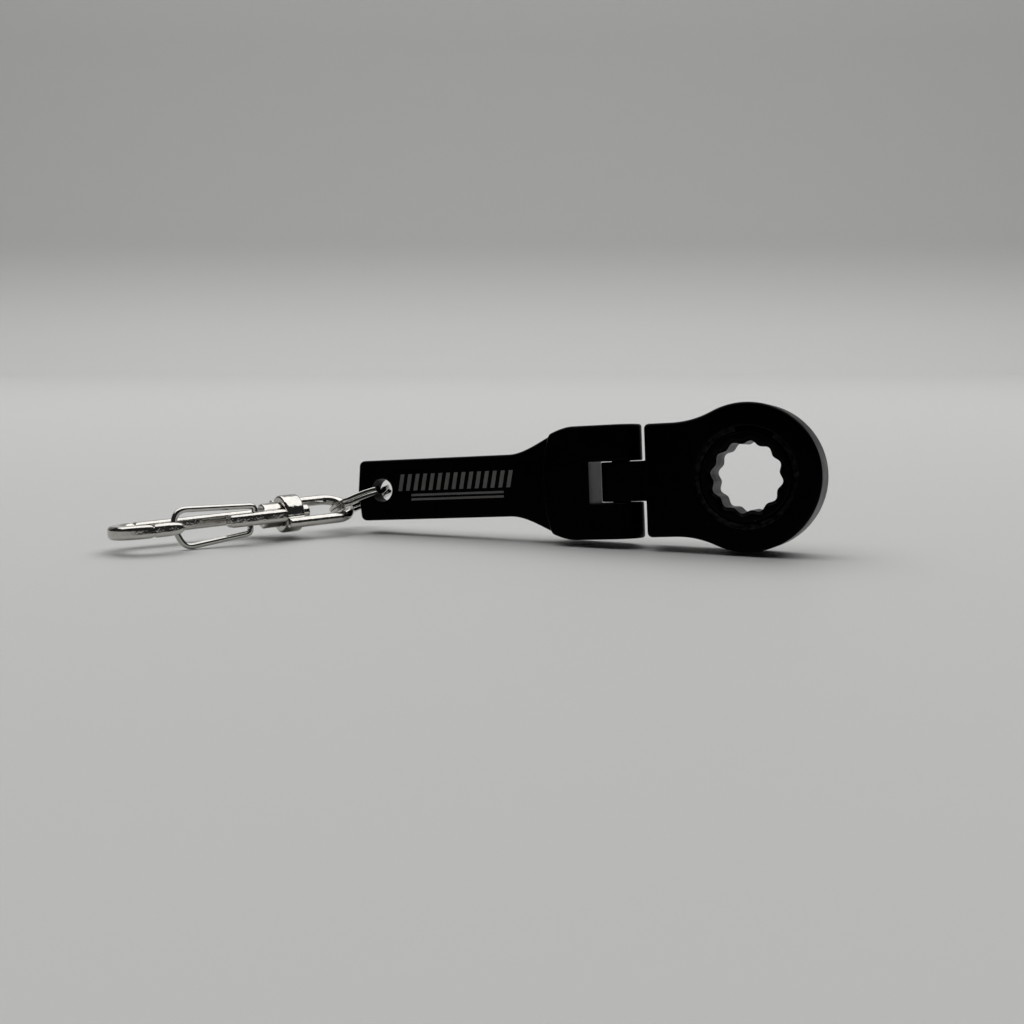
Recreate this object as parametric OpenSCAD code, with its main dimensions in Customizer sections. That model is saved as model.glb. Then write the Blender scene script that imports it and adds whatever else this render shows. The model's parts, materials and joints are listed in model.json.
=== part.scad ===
// Pocket flex-head ratcheting box wrench, hung from a split ring and a swivel snap clasp.
// The wrench stands on edge on z = 0 with its box end towards +X and its front face towards -Y;
// the clasp trails off the handle end towards -X and -Y.

/* [Box end] */
// Size of nut that the twelve-point socket takes, across its flats
nut_af = 10; // [9:0.5:10]
// Outside diameter of the round head
head_d = 23.5; // [23.5:0.1:25]
// Thickness of the head from face to face
head_t = 8; // [8:0.1:9]
// Width of the neck where it meets the fork
neck_w = 18.2; // [16:0.1:18.4]
// Number of teeth on the ratchet gear
gear_teeth = 72; // [60:12:72]

/* [Handle] */
// Distance from the centre of the head to the far end of the handle
handle_reach = 68.2; // [60:0.1:80]
// Width of the handle, seen from the front
handle_w = 10.4; // [9.5:0.1:11]
// Thickness of the handle
handle_t = 4.3; // [4:0.1:5]
// Width of the fork, seen from the front
fork_w = 18.6; // [18:0.1:19.5]
// Thickness of the fork
fork_t = 8; // [7.6:0.1:8.2]
// Diameter of the hole for the key ring
hang_hole_d = 4; // [4:0.1:4.6]

/* [Flex hinge] */
// Distance from the centre of the head to the hinge axis
hinge_reach = 21.1; // [20.8:0.1:21.4]
// Diameter of the hinge screw's shank
screw_d = 3; // [2.6:0.1:3.2]
// Width of the tongue that sits in the fork
tongue_w = 6.5; // [6:0.1:6.6]
// Width of the slot in the fork
slot_w = 6.8; // [6.8:0.1:7.4]

/* [Key ring and clasp] */
// Outside diameter of the split ring
ring_d = 11.4; // [11:0.1:12]
// Diameter of the wire of the snap gate
gate_wire_d = 1; // [0.9:0.05:1.05]
// Diameter of the swivel collar
collar_d = 6.4; // [6:0.1:6.6]

/* [Pose on the table] */
// Lean of the whole wrench towards its handle end
wrench_tilt = 4.16; // [3:0.01:4.2]
// Lean of the whole wrench towards its back face
wrench_lean = 5; // [4:0.5:6]
// Turn of the clasp away from the line of the handle
clasp_turn = 56; // [55:1:57]

/* [Hidden] */

big = 100;
eps = 0.01;
round_fn = 96;

// The origin is under the middle of the whole object, so the wrench and the clasp are shifted by this.
origin_shift = [42.353, 16.745, 0];

// Head and ratchet
head_r = head_d / 2;
head_centre_z = head_r * cos(wrench_lean) + head_t / 2 * sin(wrench_lean);
neck_end = 16.1;
neck_blend_r = 15;
gear_tip_r = 7.85;
tooth_depth = 0.4;
cavity_r = gear_tip_r + 0.2;
front_hub_r = 7.1;
rear_hub_r = 6.8;
rear_lip_r = rear_hub_r + 0.07;
cavity_back = 2.45;
gear_half_t = 3.8;
tooth_front = -2.75;
tooth_back = 2.35;
socket_mean_r = nut_af / 2 * 1.094;
socket_wave = 0.047;
socket_turn = -9.1;
mouth_chamfer = 0.55;
snap_front = -3.7;
snap_t = 0.6;
snap_in_r = 7.35;
snap_out_r = 8.4;
snap_slack = 0.05;
snap_gap_turn = 78;
snap_gap = 46;

// Pawl pocket, measured along the wrench from the centre of the head
pawl_front = 6.9;
pawl_back = 11.75;
pawl_w = 6.4;
pawl_t = 3.6;
pawl_slack = 0.06;
pawl_travel = 0.5;
pocket_back = pawl_back + pawl_travel + 0.1;
spring_r = 0.85;
spring_wire_r = 0.14;
spring_bore_r = 1.1;
spring_from = 9.8;
spring_to = 14;
spring_turns = 6;
spring_room = spring_to + pawl_travel + 0.1;

// Handle
flare_from = 40;
flare_to = 28;
fork_end = 16.7;
fork_corner = 0.8;
slot_bottom = 25.6;
crease_mid = 33.2;
crease_r = 27.5;
fork_nose_back = 0.45;
handle_corner = 1;
end_bulge = 0.4;
hang_hole_reach = 63.7;

// Hinge screw
screw_head_r = 2.4;
screw_head_t = 1.2;
screw_seat_slack = 0.1;
screw_run = 0.06;
screw_flush = 0.05;
washer_t = 0.35;
hex_drive = 2;
hex_depth = 0.8;

// Split ring: two flat coils of spring band
coil_w = 1.2;
coil_t = 0.72;
coil_pitch = 0.75;
ring_mid_r = (ring_d - coil_w) / 2;
ring_yaw = 7;
ring_swing = -25.5;
ring_roll = -6.5;
ring_nudge = [-0.4, 0.3, 0.1];

// Swivel clasp, measured from the middle of the collar towards the hook's tip
collar_at = [-76.8, -11.5, 4.1];
clasp_pitch = 1.6;
bail_roll = -19;
hook_roll = 4.8;
collar_t = 3.3;
collar_r = collar_d / 2;
bail_wire_r = 0.9;
bail_arm = 3.6;
bail_straight = 7.7;
rivet_r = 0.9;
rivet_run = 0.05;
rivet_head_r = 1.25;
rivet_head_t = 1.9;
barrel_r = 2.1;
barrel_from = collar_t / 2 + 0.1;
barrel_to = 5;
hook_t = 2.2;
hook_w = 2.4;
spine_at = -3.9;
bend_at = 25.8;
bend_r = 4.25;
nose_tip = 20.2;
bar_at = 3.3;
bar_w = 2.2;
bar_to = 12.4;
gate_top_pivot = 7.6;
gate_low_pivot = 8.6;
gate_hole_r = gate_wire_d / 2 + 0.15;
gate_pin_depth = 0.9;
gate_lean = 0.035;

steel_black = [0.05, 0.05, 0.055];
steel_dark = [0.16, 0.16, 0.17];
nickel = [0.72, 0.7, 0.66];
spring_steel = [0.62, 0.61, 0.58];

// ---- Placing ----

module place_wrench() {
    translate(origin_shift) translate([0, 0, head_centre_z]) rotate([-wrench_lean, 0, 0])
        rotate([0, -wrench_tilt, 0]) children();
}

module place_ring() {
    translate(origin_shift) translate([0, 0, head_centre_z]) rotate([-wrench_lean, 0, 0])
        rotate([0, -wrench_tilt, 0]) translate([-hang_hole_reach, 0, 0]) rotate([0, wrench_tilt, 0])
            rotate([wrench_lean, 0, 0]) translate(ring_nudge) rotate([0, 0, ring_yaw])
                rotate([0, ring_swing, 0]) rotate([ring_roll, 0, 0]) translate([-ring_mid_r, 0, 0]) children();
}

// X runs from the collar to the hook's tip, Y towards the gate, Z up through the flat of the hook.
module place_clasp(roll) {
    translate(origin_shift) translate(collar_at) rotate([0, 0, 180 + clasp_turn])
        rotate([0, clasp_pitch, 0]) rotate([roll, 0, 0]) children();
}

// A flat shape in the wrench's own XZ plane, given thickness along Y.
module plate(t) {
    rotate([90, 0, 0]) linear_extrude(t, center = true) children();
}

// A round bar along Y from y0 to y1.
module bore_y(r, y0, y1) {
    translate([0, y0, 0]) rotate([-90, 0, 0]) cylinder(r = r, h = y1 - y0, $fn = round_fn);
}

// ---- Shapes that follow a rule ----

function clamp01(t) = min(1, max(0, t));
function ease(t) = let (c = clamp01(t)) c * c * (3 - 2 * c);

// Half width of the handle at a distance from the head's centre.
function handle_half(reach) =
    handle_w / 2 + (fork_w - handle_w) / 2 * ease((flare_from - reach) / (flare_from - flare_to));

function arc(cx, cy, r, a0, a1, n) =
    [for (i = [0:n]) let (a = a0 + (a1 - a0) * i / n) [cx + r * cos(a), cy + r * sin(a)]];

function flip(points) = [for (i = [len(points) - 1:-1:0]) [points[i].x, -points[i].y]];

// A closed ring of points about a centre whose radius rises and falls n times.
function wavy(r, wave, n, steps) =
    [for (i = [0:steps - 1]) let (a = 360 * i / steps, s = r * (1 + wave * cos(n * a)))
        [s * cos(a), s * sin(a)]];

function toothed(tip_r, root_r, n) =
    [for (i = [0:n - 1]) let (a = 360 * i / n, h = 360 / n)
        each [[tip_r * cos(a - h * 0.12), tip_r * sin(a - h * 0.12)],
              [tip_r * cos(a + h * 0.12), tip_r * sin(a + h * 0.12)],
              [root_r * cos(a + h * 0.42), root_r * sin(a + h * 0.42)],
              [root_r * cos(a + h * 0.58), root_r * sin(a + h * 0.58)]]];

// ---- Swept tube: one polyhedron through rings of points ----

module skin(rings) {
    n = len(rings);
    k = len(rings[0]);
    points = [for (ring = rings) each ring];
    side = [for (i = [0:n - 2]) for (j = [0:k - 1])
        [i * k + j, i * k + (j + 1) % k, (i + 1) * k + (j + 1) % k, (i + 1) * k + j]];
    start = [[for (j = [k - 1:-1:0]) j]];
    finish = [[for (j = [0:k - 1]) (n - 1) * k + j]];
    polyhedron(points, concat(start, side, finish));
}

// ---- Wrench ----

module handle_outline() {
    corner = [-handle_reach + end_bulge, handle_w / 2];
    end_top = concat(
        [[-handle_reach, 0]],
        arc(corner.x + handle_corner, corner.y - handle_corner, handle_corner, 180, 90, 6),
        [for (i = [0:24]) let (reach = flare_from - (flare_from - flare_to) * i / 24)
            [-reach, handle_half(reach)]],
        arc(-fork_end - fork_corner, fork_w / 2 - fork_corner, fork_corner, 90, 0, 6));
    polygon(concat(end_top, flip([for (i = [1:len(end_top) - 1]) end_top[i]])));
}

module handle() {
    color(steel_black) place_wrench() difference() {
        intersection() {
            union() {
                plate(handle_t) handle_outline();
                plate(fork_t) intersection() {
                    handle_outline();
                    translate([-crease_mid + crease_r, 0]) circle(r = crease_r, $fn = 180);
                }
            }
            // Seen from above, the fork's ears are rounded so that the head can swing past them.
            linear_extrude(big, center = true) union() {
                translate([-hinge_reach - fork_nose_back, 0]) circle(d = fork_t, $fn = round_fn);
                translate([-big - hinge_reach - fork_nose_back, -fork_t / 2]) square([big, fork_t]);
            }
        }
        translate([-slot_bottom, -fork_t, -slot_w / 2]) cube([slot_bottom, 2 * fork_t, slot_w]);
        translate([-hinge_reach, 0, 0]) cylinder(d = screw_d, h = big, center = true, $fn = round_fn);
        translate([-hinge_reach, 0, fork_w / 2 - screw_flush - screw_head_t - washer_t])
            cylinder(r = screw_head_r + screw_seat_slack, h = big, $fn = round_fn);
        translate([-hang_hole_reach, 0, 0]) bore_y(hang_hole_d / 2, -handle_t, handle_t);
    }
}

// One side of the neck: flat along its top, then a hollow curve that runs onto the round head.
function neck_side() =
    let (half = neck_w / 2, cy = half + neck_blend_r, reach = head_r + neck_blend_r,
         cx = -sqrt(reach * reach - cy * cy), land = atan2(-cy, -cx))
    concat(arc(-neck_end + fork_corner, half - fork_corner, fork_corner, 180, 90, 6),
        arc(cx, cy, neck_blend_r, 270, 360 + land, 16));

module head_outline() {
    circle(r = head_r, $fn = 180);
    polygon(concat(neck_side(), [[0, 0]], flip(neck_side())));
}

module tongue() {
    translate([-hinge_reach, 0, 0]) cylinder(d = tongue_w, h = tongue_w, center = true, $fn = round_fn);
    translate([-hinge_reach, -tongue_w / 2, -tongue_w / 2])
        cube([hinge_reach - neck_end + 1, tongue_w, tongue_w]);
}

module head_housing() {
    color(steel_black) place_wrench() difference() {
        union() {
            plate(head_t) head_outline();
            tongue();
        }
        bore_y(cavity_r, -head_t, cavity_back);
        bore_y(rear_lip_r, -head_t, head_t);
        bore_y(snap_out_r + snap_slack, snap_front - 0.03, snap_front + snap_t + 0.03);
        translate([-pocket_back, -pawl_t / 2 - pawl_slack, -pawl_w / 2 - pawl_slack])
            cube([pocket_back - pawl_front, pawl_t + 2 * pawl_slack, pawl_w + 2 * pawl_slack]);
        translate([-spring_room, 0, 0]) rotate([0, 90, 0])
            cylinder(r = spring_bore_r, h = spring_room - pawl_front, $fn = 48);
        translate([-hinge_reach, 0, 0])
            cylinder(r = screw_d / 2 + screw_run, h = big, center = true, $fn = round_fn);
    }
}

module ratchet_gear() {
    color(steel_dark) place_wrench() difference() {
        union() {
            translate([0, (tooth_front + tooth_back) / 2, 0]) plate(tooth_back - tooth_front)
                polygon(toothed(gear_tip_r, gear_tip_r - tooth_depth, gear_teeth));
            bore_y(front_hub_r, -gear_half_t, 0);
            bore_y(rear_hub_r, 0, gear_half_t);
        }
        plate(big) rotate(socket_turn) polygon(wavy(socket_mean_r, socket_wave, 12, 180));
        for (side = [-1, 1]) rotate([-90 * side, 0, 0])
            translate([0, 0, gear_half_t - mouth_chamfer])
                cylinder(r1 = socket_mean_r * (1 - socket_wave), r2 = socket_mean_r * (1 - socket_wave)
                    + 2 * mouth_chamfer, h = mouth_chamfer + eps, $fn = round_fn);
    }
}

module gear_snap_ring() {
    color(steel_dark) place_wrench() difference() {
        bore_y(snap_out_r, snap_front, snap_front + snap_t);
        bore_y(snap_in_r, -big, big);
        plate(big) rotate(snap_gap_turn)
            polygon([[0, 0], [big * cos(snap_gap / 2), big * sin(snap_gap / 2)],
                [big * cos(snap_gap / 2), -big * sin(snap_gap / 2)]]);
    }
}

// The pawl's face is the gear's own outline, so its teeth sit in the gear's tooth spaces.
module pawl() {
    clear = 0.05;
    color(steel_dark) place_wrench() difference() {
        translate([-pawl_back, -pawl_t / 2, -pawl_w / 2])
            cube([pawl_back - pawl_front, pawl_t, pawl_w]);
        plate(big) polygon(toothed(gear_tip_r + clear, gear_tip_r - tooth_depth + clear, gear_teeth));
        translate([-big, 0, 0]) rotate([0, 90, 0])
            cylinder(r = spring_bore_r, h = big - spring_from, $fn = 48);
    }
}

module pawl_spring() {
    sides = 8;
    per_turn = 18;
    steps = spring_turns * per_turn;
    run = spring_to - spring_from - 2 * spring_wire_r;
    rings = [for (i = [0:steps]) let (a = 360 * i / per_turn, x = -spring_to + spring_wire_r + run * i / steps)
        [for (j = [0:sides - 1]) let (b = 360 * j / sides, r = spring_r + spring_wire_r * cos(b))
            [x + spring_wire_r * sin(b), r * cos(a), r * sin(a)]]];
    color(spring_steel) place_wrench() skin(rings);
}

module hinge_screw() {
    top = fork_w / 2 - screw_flush;
    color(steel_dark) place_wrench() translate([-hinge_reach, 0, 0]) difference() {
        union() {
            translate([0, 0, -top]) cylinder(d = screw_d, h = 2 * top - screw_head_t, $fn = round_fn);
            translate([0, 0, top - screw_head_t])
                cylinder(r = screw_head_r, h = screw_head_t, $fn = round_fn);
        }
        translate([0, 0, top - hex_depth]) cylinder(d = hex_drive / cos(30), h = 2, $fn = 6);
    }
}

module tension_washer() {
    seat = fork_w / 2 - screw_flush - screw_head_t - washer_t;
    color(spring_steel) place_wrench() translate([-hinge_reach, 0, seat]) difference() {
        cylinder(r = screw_head_r - 0.05, h = washer_t, $fn = round_fn);
        translate([0, 0, -1]) cylinder(r = screw_d / 2 + 0.05, h = 2, $fn = round_fn);
    }
}

// ---- Key ring and clasp ----

// Height of the band along the ring: one flat coil, a short step up, then the second flat coil.
function coil_z(a) = coil_pitch * (ease((a - 338) / 36) - 0.5);

module split_ring() {
    start_a = 18;
    end_a = 696;
    steps = 110;
    in_r = ring_mid_r - coil_w / 2;
    out_r = ring_mid_r + coil_w / 2;
    bevel = 0.16;
    half = coil_t / 2;
    section = [[in_r, -half + bevel], [in_r + bevel, -half], [out_r - bevel, -half], [out_r, -half + bevel],
        [out_r, half - bevel], [out_r - bevel, half], [in_r + bevel, half], [in_r, half - bevel]];
    rings = [for (i = [0:steps]) let (a = start_a + (end_a - start_a) * i / steps)
        [for (q = section) [q.x * cos(a), q.x * sin(a), q.y + coil_z(a)]]];
    color(nickel) place_ring() skin(rings);
}

module swivel_bail() {
    color(nickel) place_clasp(bail_roll) difference() {
        union() {
            translate([-collar_t / 2, 0, 0]) rotate([0, 90, 0])
                cylinder(r = collar_r, h = collar_t, $fn = round_fn);
            for (side = [-1, 1]) translate([-bail_straight, side * bail_arm, 0]) rotate([0, 90, 0])
                cylinder(r = bail_wire_r, h = bail_straight + collar_t / 2 - 0.1, $fn = 48);
            translate([-bail_straight, 0, 0]) rotate([0, 0, 90]) rotate_extrude(angle = 180, $fn = 128)
                translate([bail_arm, 0]) circle(r = bail_wire_r, $fn = 48);
        }
        translate([-collar_t, 0, 0]) rotate([0, 90, 0])
            cylinder(r = rivet_r + rivet_run, h = 2 * collar_t, $fn = round_fn);
    }
}

module swivel_rivet() {
    head_from = -collar_t / 2 - rivet_head_t - 0.08;
    color(nickel) place_clasp(hook_roll) rotate([0, 90, 0]) {
        translate([0, 0, head_from]) cylinder(r = rivet_head_r, h = rivet_head_t, $fn = round_fn);
        translate([0, 0, head_from + eps])
            cylinder(r = rivet_r, h = barrel_to - 1 - head_from - eps, $fn = round_fn);
    }
}

module hook_outline() {
    half = hook_w / 2;
    translate([barrel_from + 0.4, spine_at - half]) square([bend_at - barrel_from - 0.4, hook_w]);
    translate([bend_at, spine_at + bend_r]) difference() {
        circle(r = bend_r + half, $fn = 128);
        circle(r = bend_r - half, $fn = 128);
        translate([-big, -big]) square([big, 2 * big]);
    }
    nose_y = spine_at + 2 * bend_r;
    polygon([[bend_at + eps, nose_y + half], [nose_tip + 3, nose_y + half], [nose_tip + 0.8, nose_y + 0.9],
        [nose_tip, nose_y + 0.2], [nose_tip + 0.9, nose_y - half + 0.2], [nose_tip + 2, nose_y - half],
        [bend_at + eps, nose_y - half]]);
    translate([barrel_from + 0.4, spine_at]) square([barrel_to - barrel_from + 0.6, bar_at - spine_at]);
    translate([barrel_from + 0.4, bar_at - bar_w / 2]) square([bar_to - barrel_from - 0.4, bar_w]);
}

module hook_body() {
    color(nickel) place_clasp(hook_roll) difference() {
        union() {
            linear_extrude(hook_t, center = true) hook_outline();
            translate([barrel_from, 0, 0]) rotate([0, 90, 0])
                cylinder(r = barrel_r, h = barrel_to - barrel_from, $fn = round_fn);
        }
        rotate([0, 90, 0]) cylinder(r = rivet_r, h = barrel_to - 1, $fn = round_fn);
        translate([gate_top_pivot, bar_at, hook_t / 2 - gate_pin_depth])
            cylinder(r = gate_hole_r, h = hook_t, $fn = 48);
        translate([gate_low_pivot, bar_at, -hook_t / 2 + gate_pin_depth - hook_t])
            cylinder(r = gate_hole_r, h = hook_t, $fn = 48);
    }
}

// The gate's wire, as corners of its loop: distance along the clasp, height, and radius of the bend.
gate_corners = [[gate_top_pivot, hook_t / 2 - gate_pin_depth + 0.1, 0], [gate_top_pivot, 2.15, 0.85],
    [21.4, 2.85, 2.4], [21.5, -0.2, 0.6], [20, -3.4, 1.6], [gate_low_pivot, -2.3, 0.85],
    [gate_low_pivot, -hook_t / 2 + gate_pin_depth - 0.1, 0]];

function unit(v) = v / norm(v);

// A corner of a path, rounded with a quadratic curve that starts a set distance before it.
function rounded_corner(prev, mid, next, cut) =
    cut == 0 ? [mid] : let (a = mid + unit(prev - mid) * cut, b = mid + unit(next - mid) * cut)
    [for (i = [0:6]) let (t = i / 6) a * (1 - t) * (1 - t) + mid * 2 * t * (1 - t) + b * t * t];

function gate_path() =
    let (n = len(gate_corners), flat = [for (c = gate_corners) [c.x, c.y]])
    [for (i = [0:n - 1]) each rounded_corner(flat[max(0, i - 1)], flat[i], flat[min(n - 1, i + 1)],
        gate_corners[i].z)];

module wire_gate() {
    sides = 12;
    path = gate_path();
    n = len(path);
    r = gate_wire_d / 2;
    rings = [for (i = [0:n - 1]) let (run = unit(path[min(n - 1, i + 1)] - path[max(0, i - 1)]))
        [for (j = [0:sides - 1]) let (b = 360 * j / sides, x = path[i].x - run.y * r * cos(b))
            [x, bar_at - gate_lean * (path[i].x - gate_top_pivot) + r * sin(b),
                path[i].y + run.x * r * cos(b)]]];
    color(spring_steel) place_clasp(hook_roll) skin(rings);
}

handle();
head_housing();
ratchet_gear();
gear_snap_ring();
pawl();
pawl_spring();
hinge_screw();
tension_washer();
split_ring();
swivel_bail();
swivel_rivet();
hook_body();
wire_gate();
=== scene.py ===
"""Looks for the pocket flex-head ratchet wrench with its split ring and swivel snap clasp.

Every visible piece is built in its own local frame as a signed-distance field or a swept tube,
in millimetres, with the same sizes as the CAD part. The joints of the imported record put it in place.
"""

import math

import bpy
import numpy as np

from mathutils import Matrix, Vector
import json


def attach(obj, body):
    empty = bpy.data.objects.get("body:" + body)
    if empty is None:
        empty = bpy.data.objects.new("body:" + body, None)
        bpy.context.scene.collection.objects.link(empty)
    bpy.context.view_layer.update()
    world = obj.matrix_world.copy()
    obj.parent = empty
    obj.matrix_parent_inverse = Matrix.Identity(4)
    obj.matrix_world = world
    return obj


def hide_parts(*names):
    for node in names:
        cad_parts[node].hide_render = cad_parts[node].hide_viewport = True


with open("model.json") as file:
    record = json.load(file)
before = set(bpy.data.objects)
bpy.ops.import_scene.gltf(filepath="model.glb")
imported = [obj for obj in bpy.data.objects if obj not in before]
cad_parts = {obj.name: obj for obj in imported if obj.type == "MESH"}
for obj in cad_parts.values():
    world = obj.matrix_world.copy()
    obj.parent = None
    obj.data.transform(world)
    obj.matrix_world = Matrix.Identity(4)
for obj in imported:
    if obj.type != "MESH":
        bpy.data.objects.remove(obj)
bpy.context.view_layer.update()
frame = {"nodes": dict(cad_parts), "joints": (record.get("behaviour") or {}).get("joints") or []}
JOINTS = {j["name"]: j for j in frame["joints"]}
MM = 0.001


# ---- Placing, all from the record's joints ----


def joint_at(name):
    return np.array(JOINTS[name]["pos_m"], float) * 1000


def joint_axis(name):
    axis = np.array(JOINTS[name]["axis"], float)
    return axis / np.linalg.norm(axis)


def rotation(axis, degrees):
    """Rotation matrix about a unit axis."""
    a = np.asarray(axis, float)
    k = np.array([[0, -a[2], a[1]], [a[2], 0, -a[0]], [-a[1], a[0], 0]])
    t = math.radians(degrees)
    return np.eye(3) + math.sin(t) * k + (1 - math.cos(t)) * k @ k


WRENCH_UP = joint_axis("flex_hinge")
WRENCH_AT = joint_at("gear_spin")
WRENCH_ACROSS = joint_axis("gear_spin")
WRENCH_TURN = np.stack([np.cross(WRENCH_ACROSS, WRENCH_UP), WRENCH_ACROSS, WRENCH_UP], 1)

CLASP_ALONG = joint_axis("swivel_spin")
CLASP_AT = joint_at("swivel_spin")
flat_side = np.cross([0, 0, 1], CLASP_ALONG)
CLASP_SIDE = flat_side / np.linalg.norm(flat_side)
CLASP_TURN = np.stack([CLASP_ALONG, CLASP_SIDE, np.cross(CLASP_ALONG, CLASP_SIDE)], 1)
HOOK_ROLL, BAIL_ROLL = 4.8, -19
HOOK_TURN = CLASP_TURN @ rotation([1, 0, 0], HOOK_ROLL)
BAIL_TURN = CLASP_TURN @ rotation([1, 0, 0], BAIL_ROLL)

RING_R = 5.1
RING_YAW, RING_SWING, RING_ROLL = 7, -25.5, -6.5
RING_AT = joint_at("ring_swing")
RING_TURN = (
    rotation([0, 0, 1], RING_YAW)
    @ rotation([0, 1, 0], RING_SWING)
    @ rotation([1, 0, 0], RING_ROLL)
)


# ---- Signed distances ----


def smooth_union(a, b, k):
    h = np.clip(0.5 + 0.5 * (b - a) / k, 0, 1)
    return b * (1 - h) + a * h - k * h * (1 - h)


def smooth_cut(a, b, k):
    """a without b, with the edge between them eased over k."""
    return -smooth_union(-a, b, k)


def smooth_both(a, b, k):
    return -smooth_union(-a, -b, k)


def rounded_both(a, b, r):
    """What is inside both a and b, with the edge between them rounded to r."""
    u, v = a + r, b + r
    return np.hypot(np.maximum(u, 0), np.maximum(v, 0)) + np.minimum(np.maximum(u, v), 0) - r


def thick(d2, across, half, r):
    """A flat shape of distance d2, half thickness half, with edges rounded to r."""
    return rounded_both(d2, np.abs(across) - half, r)


def rod(p, axis, r, lo, hi, edge):
    """A round bar along a coordinate axis from lo to hi."""
    others = [i for i in range(3) if i != axis]
    d2 = np.hypot(p[:, others[0]], p[:, others[1]]) - r
    return thick(d2, p[:, axis] - (lo + hi) / 2, (hi - lo) / 2, edge)


def block(p, lo, hi, edge):
    lo, hi = np.array(lo, float), np.array(hi, float)
    q = np.abs(p - (lo + hi) / 2) - (hi - lo) / 2 + edge
    outside = np.linalg.norm(np.maximum(q, 0), axis=1)
    return outside + np.minimum(q.max(1), 0) - edge


def polygon_distance(x, y, points):
    """Signed distance to a closed polygon, negative inside."""
    pts = np.asarray(points, float)
    best = np.full(x.shape, 1e18)
    inside = np.zeros(x.shape, bool)
    for (ax, ay), (bx, by) in zip(pts, np.roll(pts, -1, 0)):
        ex, ey = bx - ax, by - ay
        length2 = ex * ex + ey * ey
        if length2 < 1e-12:
            continue
        t = np.clip(((x - ax) * ex + (y - ay) * ey) / length2, 0, 1)
        best = np.minimum(best, (x - ax - t * ex) ** 2 + (y - ay - t * ey) ** 2)
        if abs(ey) > 1e-12:
            crosses = (ay > y) != (by > y)
            inside ^= crosses & (x < ax + (y - ay) * ex / ey)
    return np.where(inside, -1, 1) * np.sqrt(best)


# ---- From a distance to a mesh ----


def band_values(f, lo, n, step):
    """f on a grid of n points: exact near the surface, and a block's middle value away from it."""
    block_n = 4
    m = -(-n // block_n)
    index = np.stack(np.meshgrid(*[np.arange(k) for k in m], indexing="ij"), -1).reshape(-1, 3)
    middle = f(lo + step * (index * block_n + (block_n - 1) / 2))
    value = np.repeat(np.repeat(np.repeat(middle.reshape(m), block_n, 0), block_n, 1), block_n, 2)
    near = index[np.abs(middle) < 1.4 * step * block_n * math.sqrt(3) / 2]
    offset = np.stack(np.meshgrid(*[np.arange(block_n)] * 3, indexing="ij"), -1).reshape(-1, 3)
    for start in range(0, len(near), 4000):
        ids = (near[start : start + 4000, None] * block_n + offset).reshape(-1, 3)
        value[tuple(ids.T)] = f(lo + step * ids)
    return value[: n[0], : n[1], : n[2]]


def surface_net(f, lo, hi, step):
    """Quads on the zero surface of f, one point to each crossed cell."""
    lo, hi = np.array(lo, float), np.array(hi, float)
    n = np.ceil((hi - lo) / step).astype(int) + 1
    value = band_values(f, lo, n, step)
    neg = value < 0
    total = np.zeros(n - 1)
    where = np.zeros((*(n - 1), 3))
    cell = [slice(0, -1), slice(1, None)]
    corner = np.stack(np.meshgrid(*[np.arange(k - 1) for k in n], indexing="ij"), -1).astype(float)
    for axis in range(3):
        a, b = (i for i in range(3) if i != axis)
        for ia in (0, 1):
            for ib in (0, 1):
                s0, s1 = [None] * 3, [None] * 3
                s0[axis], s1[axis] = cell[0], cell[1]
                s0[a] = s1[a] = cell[ia]
                s0[b] = s1[b] = cell[ib]
                v0, v1 = value[tuple(s0)], value[tuple(s1)]
                hit = (v0 < 0) != (v1 < 0)
                t = np.where(hit, v0 / np.where(hit, v0 - v1, 1), 0)
                add = corner.copy()
                add[..., axis] += t
                add[..., a] += ia
                add[..., b] += ib
                where += np.where(hit[..., None], add, 0)
                total += hit
    used = total > 0
    index = np.full(used.shape, -1)
    index[used] = np.arange(used.sum())
    points = lo + step * (where[used] / total[used][:, None])
    quads = []
    for axis in range(3):
        a, b = ((1, 2), (2, 0), (0, 1))[axis]
        s0, s1 = [slice(1, -1)] * 3, [slice(1, -1)] * 3
        s0[axis], s1[axis] = slice(0, -1), slice(1, None)
        n0, n1 = neg[tuple(s0)], neg[tuple(s1)]
        place = np.argwhere(n0 != n1)
        first = n0[tuple(place.T)]
        base = place.copy()
        base[:, a] += 1
        base[:, b] += 1
        ring = []
        for da, db in ((-1, -1), (0, -1), (0, 0), (-1, 0)):
            q = base.copy()
            q[:, a] += da
            q[:, b] += db
            ring.append(index[tuple(q.T)])
        ring = np.stack(ring, 1)
        ring[~first] = ring[~first][:, ::-1]
        quads.append(ring)
    return points, np.concatenate(quads)


def settle(f, points, step, rounds=2):
    """Moves points onto the zero surface of f."""
    h = 0.02 * step
    corners = np.array([[1, -1, -1], [-1, -1, 1], [-1, 1, -1], [1, 1, 1]], float)
    for _ in range(rounds):
        around = np.stack([f(points + h * c) for c in corners], 1)
        value = around.mean(1)
        grad = around @ corners / (4 * h)
        size2 = np.maximum((grad**2).sum(1), 0.05)
        move = (value / size2)[:, None] * grad
        length = np.linalg.norm(move, axis=1, keepdims=True)
        points = points - move * np.minimum(1, 0.5 * step / np.maximum(length, 1e-9))
    return points


def relax(points, quads, f, step, rounds=2):
    """Evens out the spacing of the points, and puts them back on the surface."""
    edges = np.concatenate([quads[:, [i, (i + 1) % 4]] for i in range(4)])
    count = np.bincount(edges[:, 0], minlength=len(points)) + np.bincount(
        edges[:, 1], minlength=len(points)
    )
    for _ in range(rounds):
        mean = np.zeros_like(points)
        for k in range(3):
            mean[:, k] = np.bincount(
                edges[:, 0], points[edges[:, 1], k], len(points)
            ) + np.bincount(edges[:, 1], points[edges[:, 0], k], len(points))
        points = settle(f, points + 0.5 * (mean / count[:, None] - points), step, 1)
    return settle(f, points, step)


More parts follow.
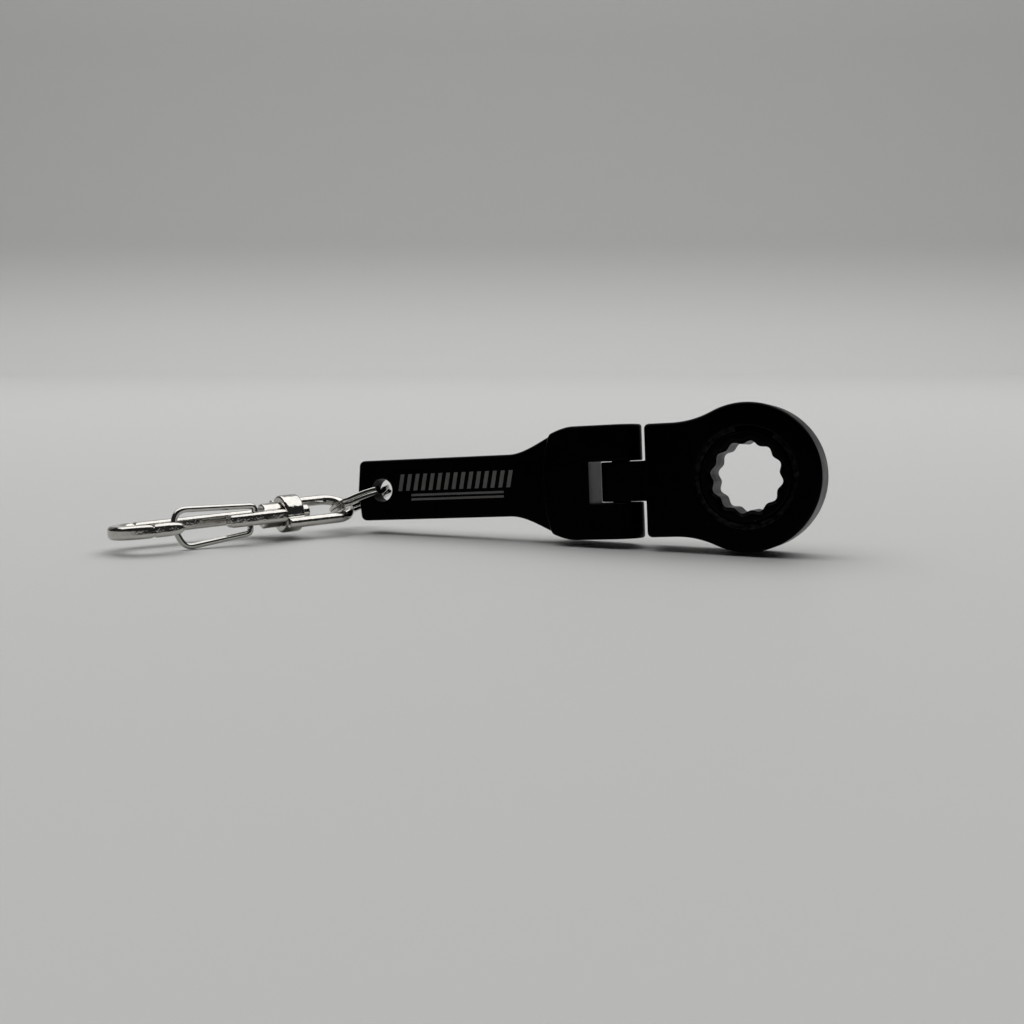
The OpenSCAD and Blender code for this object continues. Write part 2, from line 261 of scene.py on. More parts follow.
def add_mesh(name, points, faces, turn, at, material, slot, body, replaced):
    """A smooth mesh from local millimetres, riding on a body."""
    world = (np.asarray(points) @ turn.T + at) * MM
    mesh = bpy.data.meshes.new(name)
    mesh.from_pydata(world.tolist(), [], [list(map(int, q)) for q in faces])
    mesh.validate()
    mesh.update()
    mesh.polygons.foreach_set("use_smooth", [True] * len(mesh.polygons))
    obj = bpy.data.objects.new(name, mesh)
    bpy.context.scene.collection.objects.link(obj)
    obj.data.materials.append(material)
    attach(obj, body)
    if replaced:
        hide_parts(*replaced)
    return obj


def add_solid(name, f, lo, hi, step, turn, at, material, slot, body, replaced):
    step = step
    points, quads = surface_net(f, lo, hi, step)
    points = settle(f, points, step)
    points = relax(points, quads, f, step)
    return add_mesh(name, points, quads, turn, at, material, slot, body, replaced)


# ---- Swept tubes ----


def sweep_tube(path, section, ups):
    """Points and faces of a section (k, 2) carried along a path. The ends are rounded over."""
    path = np.asarray(path, float)
    tangent = np.gradient(path, axis=0)
    tangent /= np.linalg.norm(tangent, axis=1, keepdims=True)
    rings = []
    for i, t in enumerate(tangent):
        u = np.asarray(ups[i], float)
        u = u - t * (u @ t)
        u /= np.linalg.norm(u)
        v = np.cross(t, u)
        rings.append(path[i] + section[:, :1] * u + section[:, 1:] * v)
    k = len(section)
    reach = np.abs(section).max()
    for end, sign in ((0, -1), (-1, 1)):
        caps = []
        for s in (0.35, 0.65, 0.85, 0.96):
            ring = path[end] + (rings[end] - path[end]) * math.sqrt(1 - s * s)
            caps.append(ring + sign * tangent[end] * reach * 0.45 * s)
        rings = caps[::-1] + rings if end == 0 else rings + caps
    n = len(rings)
    points = np.concatenate(rings)
    faces = [
        [i * k + j, i * k + (j + 1) % k, (i + 1) * k + (j + 1) % k, (i + 1) * k + j]
        for i in range(n - 1)
        for j in range(k)
    ]
    faces.append(list(range(k))[::-1])
    faces.append([(n - 1) * k + j for j in range(k)])
    return points, faces


def circle_section(r, n=24):
    a = np.arange(n) * 2 * math.pi / n
    return np.stack([r * np.cos(a), r * np.sin(a)], 1)


def rounded_section(w, h, r, n=5):
    points = []
    for cx, cy, start in (
        (w / 2 - r, h / 2 - r, 0),
        (-w / 2 + r, h / 2 - r, 90),
        (-w / 2 + r, -h / 2 + r, 180),
        (w / 2 - r, -h / 2 + r, 270),
    ):
        for i in range(n + 1):
            a = math.radians(start + 90 * i / n)
            points.append([cx + r * math.cos(a), cy + r * math.sin(a)])
    return np.array(points)


# ---- Materials ----


def new_material(name):
    mat = bpy.data.materials.new(name)
    mat.use_nodes = True
    return mat, mat.node_tree.nodes, mat.node_tree.links


def coordinates(nodes, links, scale):
    """Object coordinates, scaled for features a few tenths of a millimetre across."""
    tex = nodes.new("ShaderNodeTexCoord")
    mapping = nodes.new("ShaderNodeMapping")
    mapping.inputs["Scale"].default_value = scale
    links.new(tex.outputs["Object"], mapping.inputs["Vector"])
    return mapping.outputs["Vector"]


def noise(nodes, links, vector, scale, detail=4.0, rough=0.55):
    n = nodes.new("ShaderNodeTexNoise")
    n.inputs["Scale"].default_value = scale
    n.inputs["Detail"].default_value = detail
    n.inputs["Roughness"].default_value = rough
    links.new(vector, n.inputs["Vector"])
    return n.outputs["Fac"]


def ramp(nodes, links, value, stops):
    r = nodes.new("ShaderNodeValToRGB")
    elements = r.color_ramp.elements
    while len(elements) < len(stops):
        elements.new(0.5)
    for e, (position, colour) in zip(elements, stops):
        e.position = position
        e.color = (*colour, 1) if len(colour) == 3 else colour
    links.new(value, r.inputs["Fac"])
    return r.outputs["Color"]


def grey(v):
    return (v, v, v)


def spread(nodes, links, value, from_lo, from_hi, to_lo, to_hi):
    m = nodes.new("ShaderNodeMapRange")
    for key, v in (("From Min", from_lo), ("From Max", from_hi), ("To Min", to_lo), ("To Max", to_hi)):
        m.inputs[key].default_value = v
    links.new(value, m.inputs["Value"])
    return m.outputs["Result"]


def bump(nodes, links, height, strength, distance, below=None):
    b = nodes.new("ShaderNodeBump")
    b.inputs["Strength"].default_value = strength
    b.inputs["Distance"].default_value = distance
    links.new(height, b.inputs["Height"])
    if below is not None:
        links.new(below, b.inputs["Normal"])
    return b.outputs["Normal"]


def black_oxide(name, tint, worn, rough_lo, rough_hi):
    """Satin black finish on steel: fine blast texture, cloudy sheen, edges rubbed a little lighter."""
    mat, nodes, links = new_material(name)
    shader = nodes["Principled BSDF"]
    shader.inputs["Metallic"].default_value = 1.0
    shader.inputs["Specular Tint"].default_value = (0.78, 0.78, 0.79, 1)
    fine = coordinates(nodes, links, (1000, 1000, 1000))
    cloud = noise(nodes, links, fine, 0.16, 3)
    grain = noise(nodes, links, fine, 9.0, 3, 0.7)
    geometry = nodes.new("ShaderNodeNewGeometry")
    patchy = noise(nodes, links, fine, 0.9, 5, 0.7)
    edge = spread(nodes, links, geometry.outputs["Pointiness"], 0.53, 0.62, 0.0, 1.0)
    chance = spread(nodes, links, patchy, 0.42, 0.66, 0.0, 1.0)
    rub = nodes.new("ShaderNodeMath")
    rub.operation = "MULTIPLY"
    links.new(edge, rub.inputs[0])
    links.new(chance, rub.inputs[1])
    base = ramp(nodes, links, cloud, [(0.3, tint), (0.7, tuple(1.35 * c for c in tint))])
    mix = nodes.new("ShaderNodeMix")
    mix.data_type = "RGBA"
    links.new(rub.outputs[0], mix.inputs["Factor"])
    links.new(base, mix.inputs["A"])
    mix.inputs["B"].default_value = (*worn, 1)
    links.new(mix.outputs["Result"], shader.inputs["Base Color"])
    links.new(spread(nodes, links, cloud, 0.3, 0.7, rough_lo, rough_hi), shader.inputs["Roughness"])
    links.new(bump(nodes, links, grain, 0.12, 0.00002), shader.inputs["Normal"])
    return mat


def nickel(name, colour, rough_lo, rough_hi, pits):
    """Nickel plate. Castings carry shallow pits and a soft unevenness under the plating."""
    mat, nodes, links = new_material(name)
    shader = nodes["Principled BSDF"]
    shader.inputs["Metallic"].default_value = 1.0
    fine = coordinates(nodes, links, (1000, 1000, 1000))
    cloud = noise(nodes, links, fine, 0.7, 4)
    base = ramp(
        nodes, links, cloud, [(0.25, tuple(0.82 * c for c in colour)), (0.75, colour)]
    )
    links.new(base, shader.inputs["Base Color"])
    links.new(spread(nodes, links, cloud, 0.3, 0.7, rough_lo, rough_hi), shader.inputs["Roughness"])
    wave = bump(nodes, links, noise(nodes, links, fine, 0.9, 2), 0.35 * pits, 0.00012)
    pit = nodes.new("ShaderNodeTexVoronoi")
    pit.inputs["Scale"].default_value = 2.6
    links.new(fine, pit.inputs["Vector"])
    hole = spread(nodes, links, pit.outputs["Distance"], 0.0, 0.28, 0.0, 1.0)
    links.new(
        bump(nodes, links, hole, 0.5 * pits, 0.00004, wave), shader.inputs["Normal"]
    )
    return mat


def paper(name, colour, painted_shade_colour, painted_shade_from, painted_shade_to):
    """Plain backdrop paper with painted shade: its colour is painted a little darker up the wall, where
    less light falls.
    """
    mat, nodes, links = new_material(name)
    shader = nodes["Principled BSDF"]
    shader.inputs["Roughness"].default_value = 0.55
    shader.inputs["Specular IOR Level"].default_value = 0.2
    place = nodes.new("ShaderNodeSeparateXYZ")
    links.new(coordinates(nodes, links, (1, 1, 1)), place.inputs["Vector"])
    # painted shade: the base colour darkens with height, up the wall
    height = spread(nodes, links, place.outputs["Z"], painted_shade_from, painted_shade_to, 0.0, 1.0)
    links.new(ramp(nodes, links, height, [(0, colour), (1, painted_shade_colour)]), shader.inputs["Base Color"])
    return mat


BLACK = black_oxide("black_oxide", (0.0022, 0.0023, 0.0026), (0.03, 0.03, 0.032), 0.3, 0.42)
BLACK_SCREW = black_oxide("black_oxide_screw", (0.003, 0.003, 0.0032), (0.06, 0.06, 0.06), 0.25, 0.4)
GEAR = black_oxide("dark_machined", (0.0035, 0.0035, 0.0037), (0.05, 0.05, 0.052), 0.28, 0.45)
CAST = nickel("cast_nickel", (0.57, 0.555, 0.52), 0.05, 0.12, 0.8)
WIRE = nickel("drawn_nickel", (0.57, 0.56, 0.53), 0.04, 0.09, 0.12)
SPRING = nickel("spring_steel", (0.5, 0.49, 0.47), 0.2, 0.32, 0.1)
ETCH = black_oxide("etched_grey", (0.16, 0.155, 0.148), (0.2, 0.195, 0.19), 0.5, 0.6)


# ---- Wrench ----

HANDLE_REACH, HANDLE_W, HANDLE_T = 68.2, 10.4, 4.3
FORK_W, FORK_T, FORK_END, FORK_CORNER = 18.6, 8.0, 16.7, 0.8
FLARE_FROM, FLARE_TO = 40.0, 28.0
CREASE_MID, CREASE_R, CREASE_WIDE = 33.2, 27.5, 0.8
SLOT_BOTTOM, SLOT_W = 25.6, 6.8
HINGE, SCREW_D = 21.1, 3.0
HOLE_AT, HOLE_D = 63.7, 4.0
SCREW_HEAD_R, SCREW_HEAD_T, WASHER_T, FLUSH = 2.4, 1.2, 0.35, 0.05
HEAD_D, HEAD_T, NECK_W, NECK_END, NECK_R = 23.5, 8.0, 18.2, 16.1, 15.0
FORK_NOSE_BACK = 0.45
HANDLE_EDGE, HANDLE_END_BULGE, HANDLE_CORNER = 0.45, 0.4, 1
HEAD_EDGE = 0.55
TONGUE, TONGUE_EDGE, ARM_EDGE = 6.5, 0.25, 0.2
GEAR_BORE_R, GEAR_SEAT_Y, BACK_BORE_R = 8.05, 2.45, 6.87
GROOVE_R, GROOVE_FROM, GROOVE_TO = 8.45, -3.73, -3.07
PAWL_POCKET = [-12.35, -1.86, -3.26], [-6.9, 1.86, 3.26]
SCREW_SLACK, HEAD_SCREW_SLACK = 0.01, 0.06
THROUGH = 20  # a cut that goes right through


def ease(t):
    t = np.clip(t, 0, 1)
    return t * t * (3 - 2 * t)


def arc(cx, cy, r, a0, a1, n):
    return [
        [
            cx + r * math.cos(math.radians(a0 + (a1 - a0) * i / n)),
            cy + r * math.sin(math.radians(a0 + (a1 - a0) * i / n)),
        ]
        for i in range(n + 1)
    ]


def mirrored(top):
    return top + [[x, -y] for x, y in top[::-1]]


def handle_outline():
    half = HANDLE_W / 2
    corner = HANDLE_CORNER
    top = arc(-HANDLE_REACH + HANDLE_END_BULGE + corner, half - corner, corner, 180, 90, 8)
    for i in range(37):
        reach = FLARE_FROM - (FLARE_FROM - FLARE_TO) * i / 36
        wide = half + (FORK_W - HANDLE_W) / 2 * ease((FLARE_FROM - reach) / (FLARE_FROM - FLARE_TO))
        top.append([-reach, float(wide)])
    top += arc(-FORK_END - FORK_CORNER, FORK_W / 2 - FORK_CORNER, FORK_CORNER, 90, 0, 8)
    return [[-HANDLE_REACH, 0]] + mirrored(top)


HANDLE_POINTS = handle_outline()


def handle_shape(p):
    x, y, z = p.T
    outline = polygon_distance(x, z, HANDLE_POINTS)
    disc = np.hypot(x + CREASE_MID - CREASE_R, z) - CREASE_R
    rise = np.clip((CREASE_WIDE - disc) / CREASE_WIDE, 0, 1)
    half = HANDLE_T / 2 + (FORK_T - HANDLE_T) / 2 * ease(rise)
    slope = (FORK_T - HANDLE_T) / 2 * 6 * rise * (1 - rise) / CREASE_WIDE
    across = (np.hypot(np.maximum(x + HINGE + FORK_NOSE_BACK, 0), y) - half) / np.sqrt(1 + slope**2)
    body = rounded_both(outline, across, HANDLE_EDGE)
    body = smooth_cut(body, block(p, [-SLOT_BOTTOM, -9, -SLOT_W / 2], [5, 9, SLOT_W / 2], 0.25), 0.3)
    shifted = p + np.array([HINGE, 0, 0])
    body = smooth_cut(body, rod(shifted, 2, SCREW_D / 2 + SCREW_SLACK, -THROUGH, THROUGH, 0), 0.08)
    seat = FORK_W / 2 - FLUSH - SCREW_HEAD_T - WASHER_T
    body = smooth_cut(body, rod(shifted, 2, SCREW_HEAD_R + 0.1, seat, THROUGH, 0), 0.15)
    hang = rod(p + np.array([HOLE_AT, 0, 0]), 1, HOLE_D / 2, -9, 9, 0)
    return smooth_cut(body, hang, 0.35)


def neck_side():
    half = NECK_W / 2
    cy = half + NECK_R
    reach = HEAD_D / 2 + NECK_R
    cx = -math.sqrt(reach**2 - cy**2)
    land = math.degrees(math.atan2(-cy, -cx))
    corner = FORK_CORNER
    end = arc(-NECK_END + corner, half - corner, corner, 180, 90, 8)
    return end + arc(cx, cy, NECK_R, 270, 360 + land, 24)


NECK_POINTS = mirrored(neck_side() + [[0, 0.001]])


def head_shape(p):
    x, y, z = p.T
    round_part = np.hypot(x, z) - HEAD_D / 2
    outline = np.minimum(round_part, polygon_distance(x, z, NECK_POINTS))
    body = thick(outline, y, HEAD_T / 2, HEAD_EDGE)
    half = TONGUE / 2
    knuckle = thick(np.hypot(x + HINGE, y) - half, z, half, TONGUE_EDGE)
    arm = block(p, [-HINGE, -half, -half], [-NECK_END + 1, half, half], ARM_EDGE)
    body = smooth_union(body, np.minimum(knuckle, arm), 0.3)
    body = smooth_cut(body, rod(p, 1, GEAR_BORE_R, -12, GEAR_SEAT_Y, 0), 0.12)
    body = smooth_cut(body, rod(p, 1, BACK_BORE_R, -12, 12, 0), 0.12)
    body = np.maximum(body, -rod(p, 1, GROOVE_R, GROOVE_FROM, GROOVE_TO, 0))
    body = np.maximum(body, -block(p, *PAWL_POCKET, 0))
    shifted = p + np.array([HINGE, 0, 0])
    screw = rod(shifted, 2, SCREW_D / 2 + HEAD_SCREW_SLACK, -THROUGH, THROUGH, 0)
    return smooth_cut(body, screw, 0.08)


SOCKET_R, SOCKET_WAVE, SOCKET_TURN, POINTS = 5.47, 0.047, -9.1, 12
GEAR_HALF, FRONT_HUB_R, BACK_HUB_R = 3.8, 7.1, 6.8
TEETH, TOOTH_MEAN_R, TOOTH_HALF_DEPTH = 72, 7.62, 0.2
TOOTH_MID_Y, TOOTH_HALF_WIDTH = -0.2, 2.55
FLARE_DEPTH = 3.25  # where the socket's mouths begin to open


def gear_shape(p):
    x, y, z = p.T
    r = np.hypot(x, z)
    a = np.arctan2(z, x)
    hub = np.where(y < 0, FRONT_HUB_R, BACK_HUB_R)
    body = thick(r - hub, y, GEAR_HALF, 0.18)
    tooth = TOOTH_MEAN_R + TOOTH_HALF_DEPTH * np.clip(2.2 * np.cos(TEETH * a), -1, 1)
    ring = thick(r - tooth, y - TOOTH_MID_Y, TOOTH_HALF_WIDTH, 0.05)
    body = np.minimum(body, ring)
    wave = SOCKET_WAVE * np.cos(POINTS * (a - math.radians(SOCKET_TURN)))
    bore = SOCKET_R * (1 + wave) - r
    flare = np.maximum(0, np.abs(y) - FLARE_DEPTH)
    return smooth_both(body, bore + flare, 0.2)


HEXAGON_HALF_FLATS, HEXAGON_DEPTH = 1.0, 0.8


def screw_shape(p):
    top = FORK_W / 2 - FLUSH
    shank = rod(p, 2, SCREW_D / 2, -top, top - SCREW_HEAD_T, 0.15)
    head = rod(p, 2, SCREW_HEAD_R, top - SCREW_HEAD_T, top, 0.3)
    a = np.arctan2(p[:, 1], p[:, 0])
    sector = math.radians(60)
    folded = np.mod(a + sector / 2, sector) - sector / 2
    flat = np.hypot(p[:, 0], p[:, 1]) * np.cos(folded) - HEXAGON_HALF_FLATS
    hexagon = np.maximum(flat, (top - HEXAGON_DEPTH) - p[:, 2])
    return smooth_cut(np.minimum(shank, head), hexagon, 0.1)


WRENCH = (WRENCH_TURN, WRENCH_AT)
black = "black_oxide_steel"
add_solid("handle_forging", handle_shape, [-68.6, -4.6, -9.9], [-16, 4.6, 9.9], 0.2,
          *WRENCH, BLACK, black, "handle", ["handle"])
add_solid("ratchet_head", head_shape, [-24.9, -4.6, -12.3], [12.4, 4.6, 12.3], 0.18,
          *WRENCH, BLACK, black, "head", ["head_housing"])
add_solid("socket_gear", gear_shape, [-8.2, -4.2, -8.2], [8.2, 4.2, 8.2], 0.11,
          *WRENCH, GEAR, "black_gear_steel", "gear", ["ratchet_gear"])
add_solid("hinge_pivot_screw", screw_shape, [-2.8, -2.8, -9.7], [2.8, 2.8, 9.7], 0.09,
          WRENCH_TURN, WRENCH_AT - HINGE * WRENCH_TURN[:, 0], BLACK_SCREW, black, "handle",
          ["hinge_screw"])


# ---- Generic etched bars where the real handle carries a mark ----


BARS, BARS_FROM, BAR_PITCH, BAR_WIDE, BAR_SLANT = 15, -60.4, 1.42, 0.72, 0.58
BAR_LOW, BAR_HIGH = -0.25, 2.6
LINES_FROM, LINES_TO, LINE_WIDE, LINE_HEIGHTS = -58.0, -41.0, 0.38, (-1.2, -1.95)
PROUD, SUNK = 0.02, 0.05


def etched_bars():
    """A plain hatch of slanted bars over two plain lines, a hair proud of the handle's front face."""
    shapes = []
    for i in range(BARS):
        x0 = BARS_FROM + BAR_PITCH * i
        low = [(x0, BAR_LOW), (x0 + BAR_WIDE, BAR_LOW)]
        high = [(x0 + BAR_SLANT + BAR_WIDE, BAR_HIGH), (x0 + BAR_SLANT, BAR_HIGH)]
        shapes.append(low + high)
    for z0 in LINE_HEIGHTS:
        z1 = z0 + LINE_WIDE
        shapes.append([(LINES_FROM, z0), (LINES_TO, z0), (LINES_TO, z1), (LINES_FROM, z1)])
    points, faces = [], []
    front = -HANDLE_T / 2
    for flat in shapes:
        first = len(points)
        for y in (front - PROUD, front + SUNK):
            points += [[x, y, z] for x, z in flat]
        faces += [[first + k for k in (0, 1, 2, 3)], [first + k for k in (7, 6, 5, 4)]]
        for k in range(4):
            after = (k + 1) % 4
            faces.append([first + k, first + 4 + k, first + 4 + after, first + after])
    return points, faces


marks = add_mesh("etched_bars", *etched_bars(), *WRENCH, ETCH, black, "handle", [])
marks.data.polygons.foreach_set("use_smooth", [False] * len(marks.data.polygons))


# ---- Split ring ----


BAND_FROM, BAND_TO, BAND_STEPS = 18, 696, 420  # degrees along the coil
CROSS_FROM, CROSS_OVER, LAYER_PITCH = 338, 36, 0.75
BAND_W, BAND_T, BAND_EDGE = 0.72, 1.2, 0.2


def ring_path():
    """The coil's centre line: flat turns, with one short step up where it passes from layer to layer."""
    turns = np.radians(np.linspace(BAND_FROM, BAND_TO, BAND_STEPS))
    rise = LAYER_PITCH * (ease((np.degrees(turns) - CROSS_FROM) / CROSS_OVER) - 0.5)
    return np.stack([RING_R * np.cos(turns), RING_R * np.sin(turns), rise], 1)


band = ring_path()
band_section = rounded_section(BAND_W, BAND_T, BAND_EDGE)
band_points, band_faces = sweep_tube(band, band_section, ups=[[0, 0, 1]] * len(band))
band_points = band_points - np.array([RING_R, 0, 0])
add_mesh("split_ring_band", band_points, band_faces, RING_TURN, RING_AT, WIRE, "nickel_wire",
         "split_ring", ["split_ring"])


# ---- Clasp ----

COLLAR_R, COLLAR_T = 3.2, 3.3
BAIL_R, BAIL_ARM, BAIL_STRAIGHT = 0.9, 3.6, 7.7
SPINE, BEND_AT, BEND_R, NOSE_TIP, BAR_AT, BAR_TO = -3.9, 25.8, 4.25, 20.2, 3.3, 12.4
HOOK_W, HOOK_T, HOOK_EDGE = 2.4, 2.2, 0.72
NOSE_TAPER = 3.2
FRAME_FROM = 2.15  # where the hook's casting begins, clear of the collar
WEB_MID, WEB_HALF, BAR_HALF = 3.85, 1.8, 1.1
BARREL_R, BARREL_FROM, BARREL_TO = 2.1, 1.75, 5
PIN_R, PIN_BORE_R, PIN_TO, PIN_HEAD_R, PIN_HEAD_T, PIN_HEAD_GAP = 0.9, 0.95, 4.0, 1.25, 1.9, 0.08
GATE_TOP, GATE_LOW, GATE_PIN_DEPTH, GATE_HOLE_R, GATE_WIRE_R = 7.6, 8.6, 0.9, 0.65, 0.5
GATE_SLOPE = 0.035  # how far the gate leans inwards along its length


def bail_shape(p):
    x, y, z = p.T
    collar = rod(p, 0, COLLAR_R, -COLLAR_T / 2, COLLAR_T / 2, 0.4)
    end = COLLAR_T / 2 - 0.1
    over = np.clip(x, -BAIL_STRAIGHT, end)
    side = np.hypot(np.hypot(x - over, np.abs(y) - BAIL_ARM), z) - BAIL_R
    bow = np.hypot(np.hypot(x + BAIL_STRAIGHT, y) - BAIL_ARM, z) - BAIL_R
    loop = np.where(x < -BAIL_STRAIGHT, bow, side)
    loop = np.maximum(loop, x - end)
    body = smooth_union(collar, loop, 0.35)
    return smooth_cut(body, rod(p, 0, PIN_BORE_R, -9 + COLLAR_T, 9, 0), 0.15)


def rivet_shape(p):
    start = -COLLAR_T / 2 - PIN_HEAD_T - PIN_HEAD_GAP
    head = rod(p, 0, PIN_HEAD_R, start, start + PIN_HEAD_T, 0.3)
    return smooth_union(head, rod(p, 0, PIN_R, start + 0.3, PIN_TO, 0.1), 0.05)


def hook_outline_distance(x, y):
    half = HOOK_W / 2
    spine = np.maximum(np.abs(y - SPINE) - half, np.maximum(FRAME_FROM - x, x - BEND_AT))
    centre_y = SPINE + BEND_R
    bow = np.maximum(np.abs(np.hypot(x - BEND_AT, y - centre_y) - BEND_R) - half, BEND_AT - x)
    nose_y = SPINE + 2 * BEND_R
    nose = polygon_distance(
        x,
        y,
        [[BEND_AT + 0.01, nose_y + half], [NOSE_TIP + 3, nose_y + half], [NOSE_TIP + 0.8, nose_y + 0.9],
         [NOSE_TIP, nose_y + 0.2], [NOSE_TIP + 0.9, nose_y - half + 0.2], [NOSE_TIP + 2, nose_y - half],
         [BEND_AT + 0.01, nose_y - half]],
    )
    web = np.maximum(np.abs(x - WEB_MID) - WEB_HALF, np.maximum(SPINE - y, y - BAR_AT))
    bar = np.maximum(np.abs(y - BAR_AT) - BAR_HALF, np.maximum(FRAME_FROM - x, x - BAR_TO))
    joined = np.minimum(np.minimum(spine, bow), np.minimum(nose, web))
    return np.minimum(joined, bar)


def hook_shape(p):
    x, y, z = p.T
    outline = hook_outline_distance(x, y)
    in_nose = (y > 2) & (x > 17)
    tip = np.clip((NOSE_TIP + NOSE_TAPER - x) / NOSE_TAPER, 0, 1)
    half = np.where(in_nose, HOOK_T / 2 * np.sqrt(1 - 0.8 * tip**2), HOOK_T / 2)
    flat = rounded_both(outline, np.abs(z) - half, HOOK_EDGE)
    barrel = rod(p, 0, BARREL_R, BARREL_FROM, BARREL_TO, 0.3)
    body = smooth_union(flat, barrel, 0.35)
    body = smooth_cut(body, rod(p, 0, PIN_R, -5, PIN_TO, 0), 0.1)
    for pivot, side in ((GATE_TOP, 1), (GATE_LOW, -1)):
        hole = np.hypot(x - pivot, y - BAR_AT) - GATE_HOLE_R
        body = smooth_cut(body, np.maximum(hole, (HOOK_T / 2 - GATE_PIN_DEPTH) - side * z), 0.1)
    return body


HOOK = (HOOK_TURN, CLASP_AT)
cast = "nickel_casting"
add_solid("swivel_eye", bail_shape, [-12.6, -4.9, -3.6], [2.1, 4.9, 3.6], 0.13,
          BAIL_TURN, CLASP_AT, CAST, cast, "bail", ["swivel_bail"])
add_solid("swivel_pin", rivet_shape, [-4.1, -1.6, -1.6], [4.3, 1.6, 1.6], 0.08,
          *HOOK, CAST, cast, "hook", ["swivel_rivet"])
add_solid("snap_hook", hook_shape, [1.3, -5.6, -2.4], [32.2, 6.3, 2.4], 0.13,
          *HOOK, CAST, cast, "hook", ["hook_body"])


def gate_path():
    """The gate's centre line from pin to pin: corners (along, up, how far the bend cuts the corner)."""
    corners = [(GATE_TOP, 0.3, 0), (GATE_TOP, 2.15, 0.85), (21.4, 2.85, 2.4), (21.5, -0.2, 0.6),
               (20, -3.4, 1.6), (GATE_LOW, -2.3, 0.85), (GATE_LOW, -0.3, 0)]
    flat = np.array([c[:2] for c in corners])
    path = []
    for i, (_, _, cut) in enumerate(corners):
        if cut == 0:
            path.append(flat[i])
            continue
        a = flat[i] + cut * (flat[i - 1] - flat[i]) / np.linalg.norm(flat[i - 1] - flat[i])
        b = flat[i] + cut * (flat[i + 1] - flat[i]) / np.linalg.norm(flat[i + 1] - flat[i])
        for t in np.linspace(0, 1, 15):
            path.append(a * (1 - t) ** 2 + flat[i] * 2 * t * (1 - t) + b * t * t)
    path = np.array(path)
    return np.stack([path[:, 0], BAR_AT - GATE_SLOPE * (path[:, 0] - GATE_TOP), path[:, 1]], 1)


gate = gate_path()
gate_tube = sweep_tube(gate, circle_section(GATE_WIRE_R), ups=[[0, 1, 0]] * len(gate))
add_mesh("gate_wire", *gate_tube, *HOOK, WIRE, "nickel_wire", "gate", ["wire_gate"])


# ---- CAD pieces that are kept as they are ----

for node, material in (("gear_snap_ring", BLACK), ("pawl", GEAR), ("pawl_spring", SPRING),
                       ("tension_washer", SPRING)):
    kept = frame["nodes"][node]
    kept.data.materials.clear()
    kept.data.materials.append(material)


# ---- Table and backdrop ----

AZIMUTH, PITCH = math.radians(20.4), math.radians(7.5)  # of the camera; the backdrop faces it
TABLE_NEAR, TABLE_MID, TABLE_HALF_WIDE = -2.2, 0.5, 4.0
WALL_FROM, WALL_BEND_R, WALL_TOP = 0.95, 0.12, 4.0
# the wall's grey is painted shade, darker than the floor's grey
FLOOR_GREY, WALL_PAINTED_SHADE_GREY = (0.62, 0.62, 0.612), (0.5, 0.5, 0.494)
PAINTED_SHADE_FROM, PAINTED_SHADE_TO = 0.04, 0.3  # heights between which the paper's colour turns to the painted shade of the wall


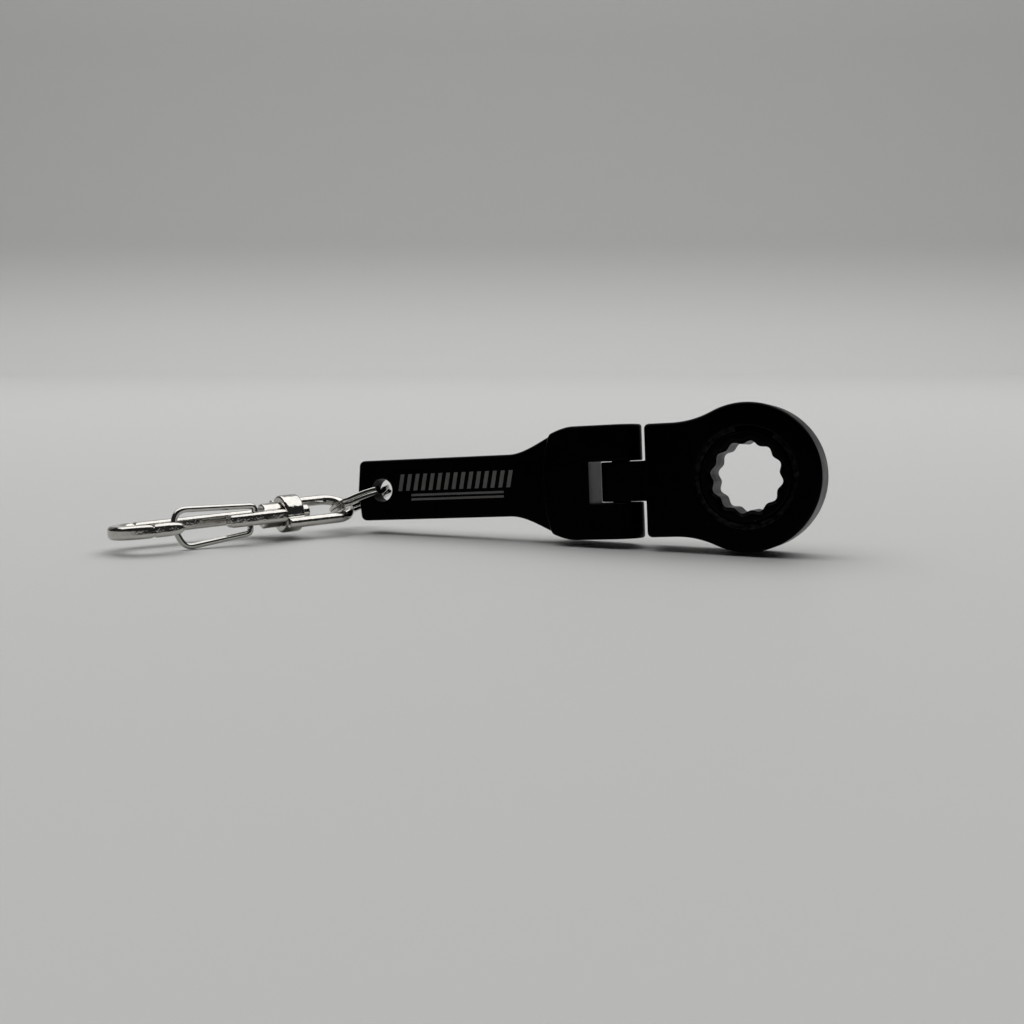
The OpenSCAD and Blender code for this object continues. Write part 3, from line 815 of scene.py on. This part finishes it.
def sweep_backdrop():
    """A table that runs back and curves up softly into a wall."""
    profile = [(TABLE_NEAR, 0.0), (TABLE_MID, 0.0)]
    for i in range(25):
        a = math.radians(90 * i / 24)
        profile.append((WALL_FROM + WALL_BEND_R * math.sin(a), WALL_BEND_R * (1 - math.cos(a))))
    profile.append((WALL_FROM + WALL_BEND_R, WALL_TOP))
    points, faces = [], []
    for y, z in profile:
        points += [(-TABLE_HALF_WIDE, y, z), (TABLE_HALF_WIDE, y, z)]
    for i in range(len(profile) - 1):
        faces.append([2 * i, 2 * i + 1, 2 * i + 3, 2 * i + 2])
    mesh = bpy.data.meshes.new("table")
    mesh.from_pydata(points, [], faces)
    mesh.polygons.foreach_set("use_smooth", [True] * len(mesh.polygons))
    obj = bpy.data.objects.new("table", mesh)
    bpy.context.scene.collection.objects.link(obj)
    obj.rotation_euler = (0, 0, AZIMUTH)
    # the backdrop's material carries painted shade up the wall
    obj.data.materials.append(paper("table_paper_painted_shade", FLOOR_GREY, WALL_PAINTED_SHADE_GREY, PAINTED_SHADE_FROM, PAINTED_SHADE_TO))


sweep_backdrop()


def area_light(name, place, target, width, height, watts, colour=(1, 1, 1)):
    data = bpy.data.lights.new(name, "AREA")
    data.shape = "RECTANGLE"
    data.size, data.size_y = width, height
    data.energy = watts
    data.color = colour
    obj = bpy.data.objects.new(name, data)
    obj.location = place
    obj.rotation_euler = (Vector(target) - Vector(place)).to_track_quat("-Z", "Y").to_euler()
    bpy.context.scene.collection.objects.link(obj)


RIGHT = Vector((math.cos(AZIMUTH), math.sin(AZIMUTH), 0))
BACK = Vector((-math.sin(AZIMUTH), math.cos(AZIMUTH), 0))
LOOK = BACK * math.cos(PITCH) - Vector((0, 0, math.sin(PITCH)))
UP = RIGHT.cross(LOOK)

# one wide panel over the table; it looks straight down
area_light("overhead", BACK * 0.5 + Vector((0, 0, 1.0)), BACK * 0.499, 2.2, 1.6, 20.4)

world = bpy.data.worlds.new("room")
world.use_nodes = True
background = world.node_tree.nodes["Background"]
background.inputs["Color"].default_value = (0.85, 0.86, 0.88, 1)
background.inputs["Strength"].default_value = 0.03
bpy.context.scene.world = world


# ---- Camera ----

SENSOR = 36
FOCAL = 1343 / 1024 * SENSOR
DISTANCE = 0.209
head_front = Vector((WRENCH_AT - WRENCH_ACROSS * HEAD_T / 2) * MM)
OFFSET_RIGHT, OFFSET_UP = 0.03634, 0.00542  # the head's place in the view, off its middle
camera_data = bpy.data.cameras.new("camera")
camera_data.lens = FOCAL
camera_data.sensor_width = SENSOR
camera_data.clip_start = 0.005
camera = bpy.data.objects.new("camera", camera_data)
camera.location = head_front - LOOK * DISTANCE - RIGHT * OFFSET_RIGHT - UP * OFFSET_UP
turn = Matrix((RIGHT, UP, -LOOK)).transposed()
camera.rotation_euler = turn.to_euler()
bpy.context.scene.collection.objects.link(camera)
bpy.context.scene.camera = camera
bpy.context.scene.view_settings.view_transform = "Standard"
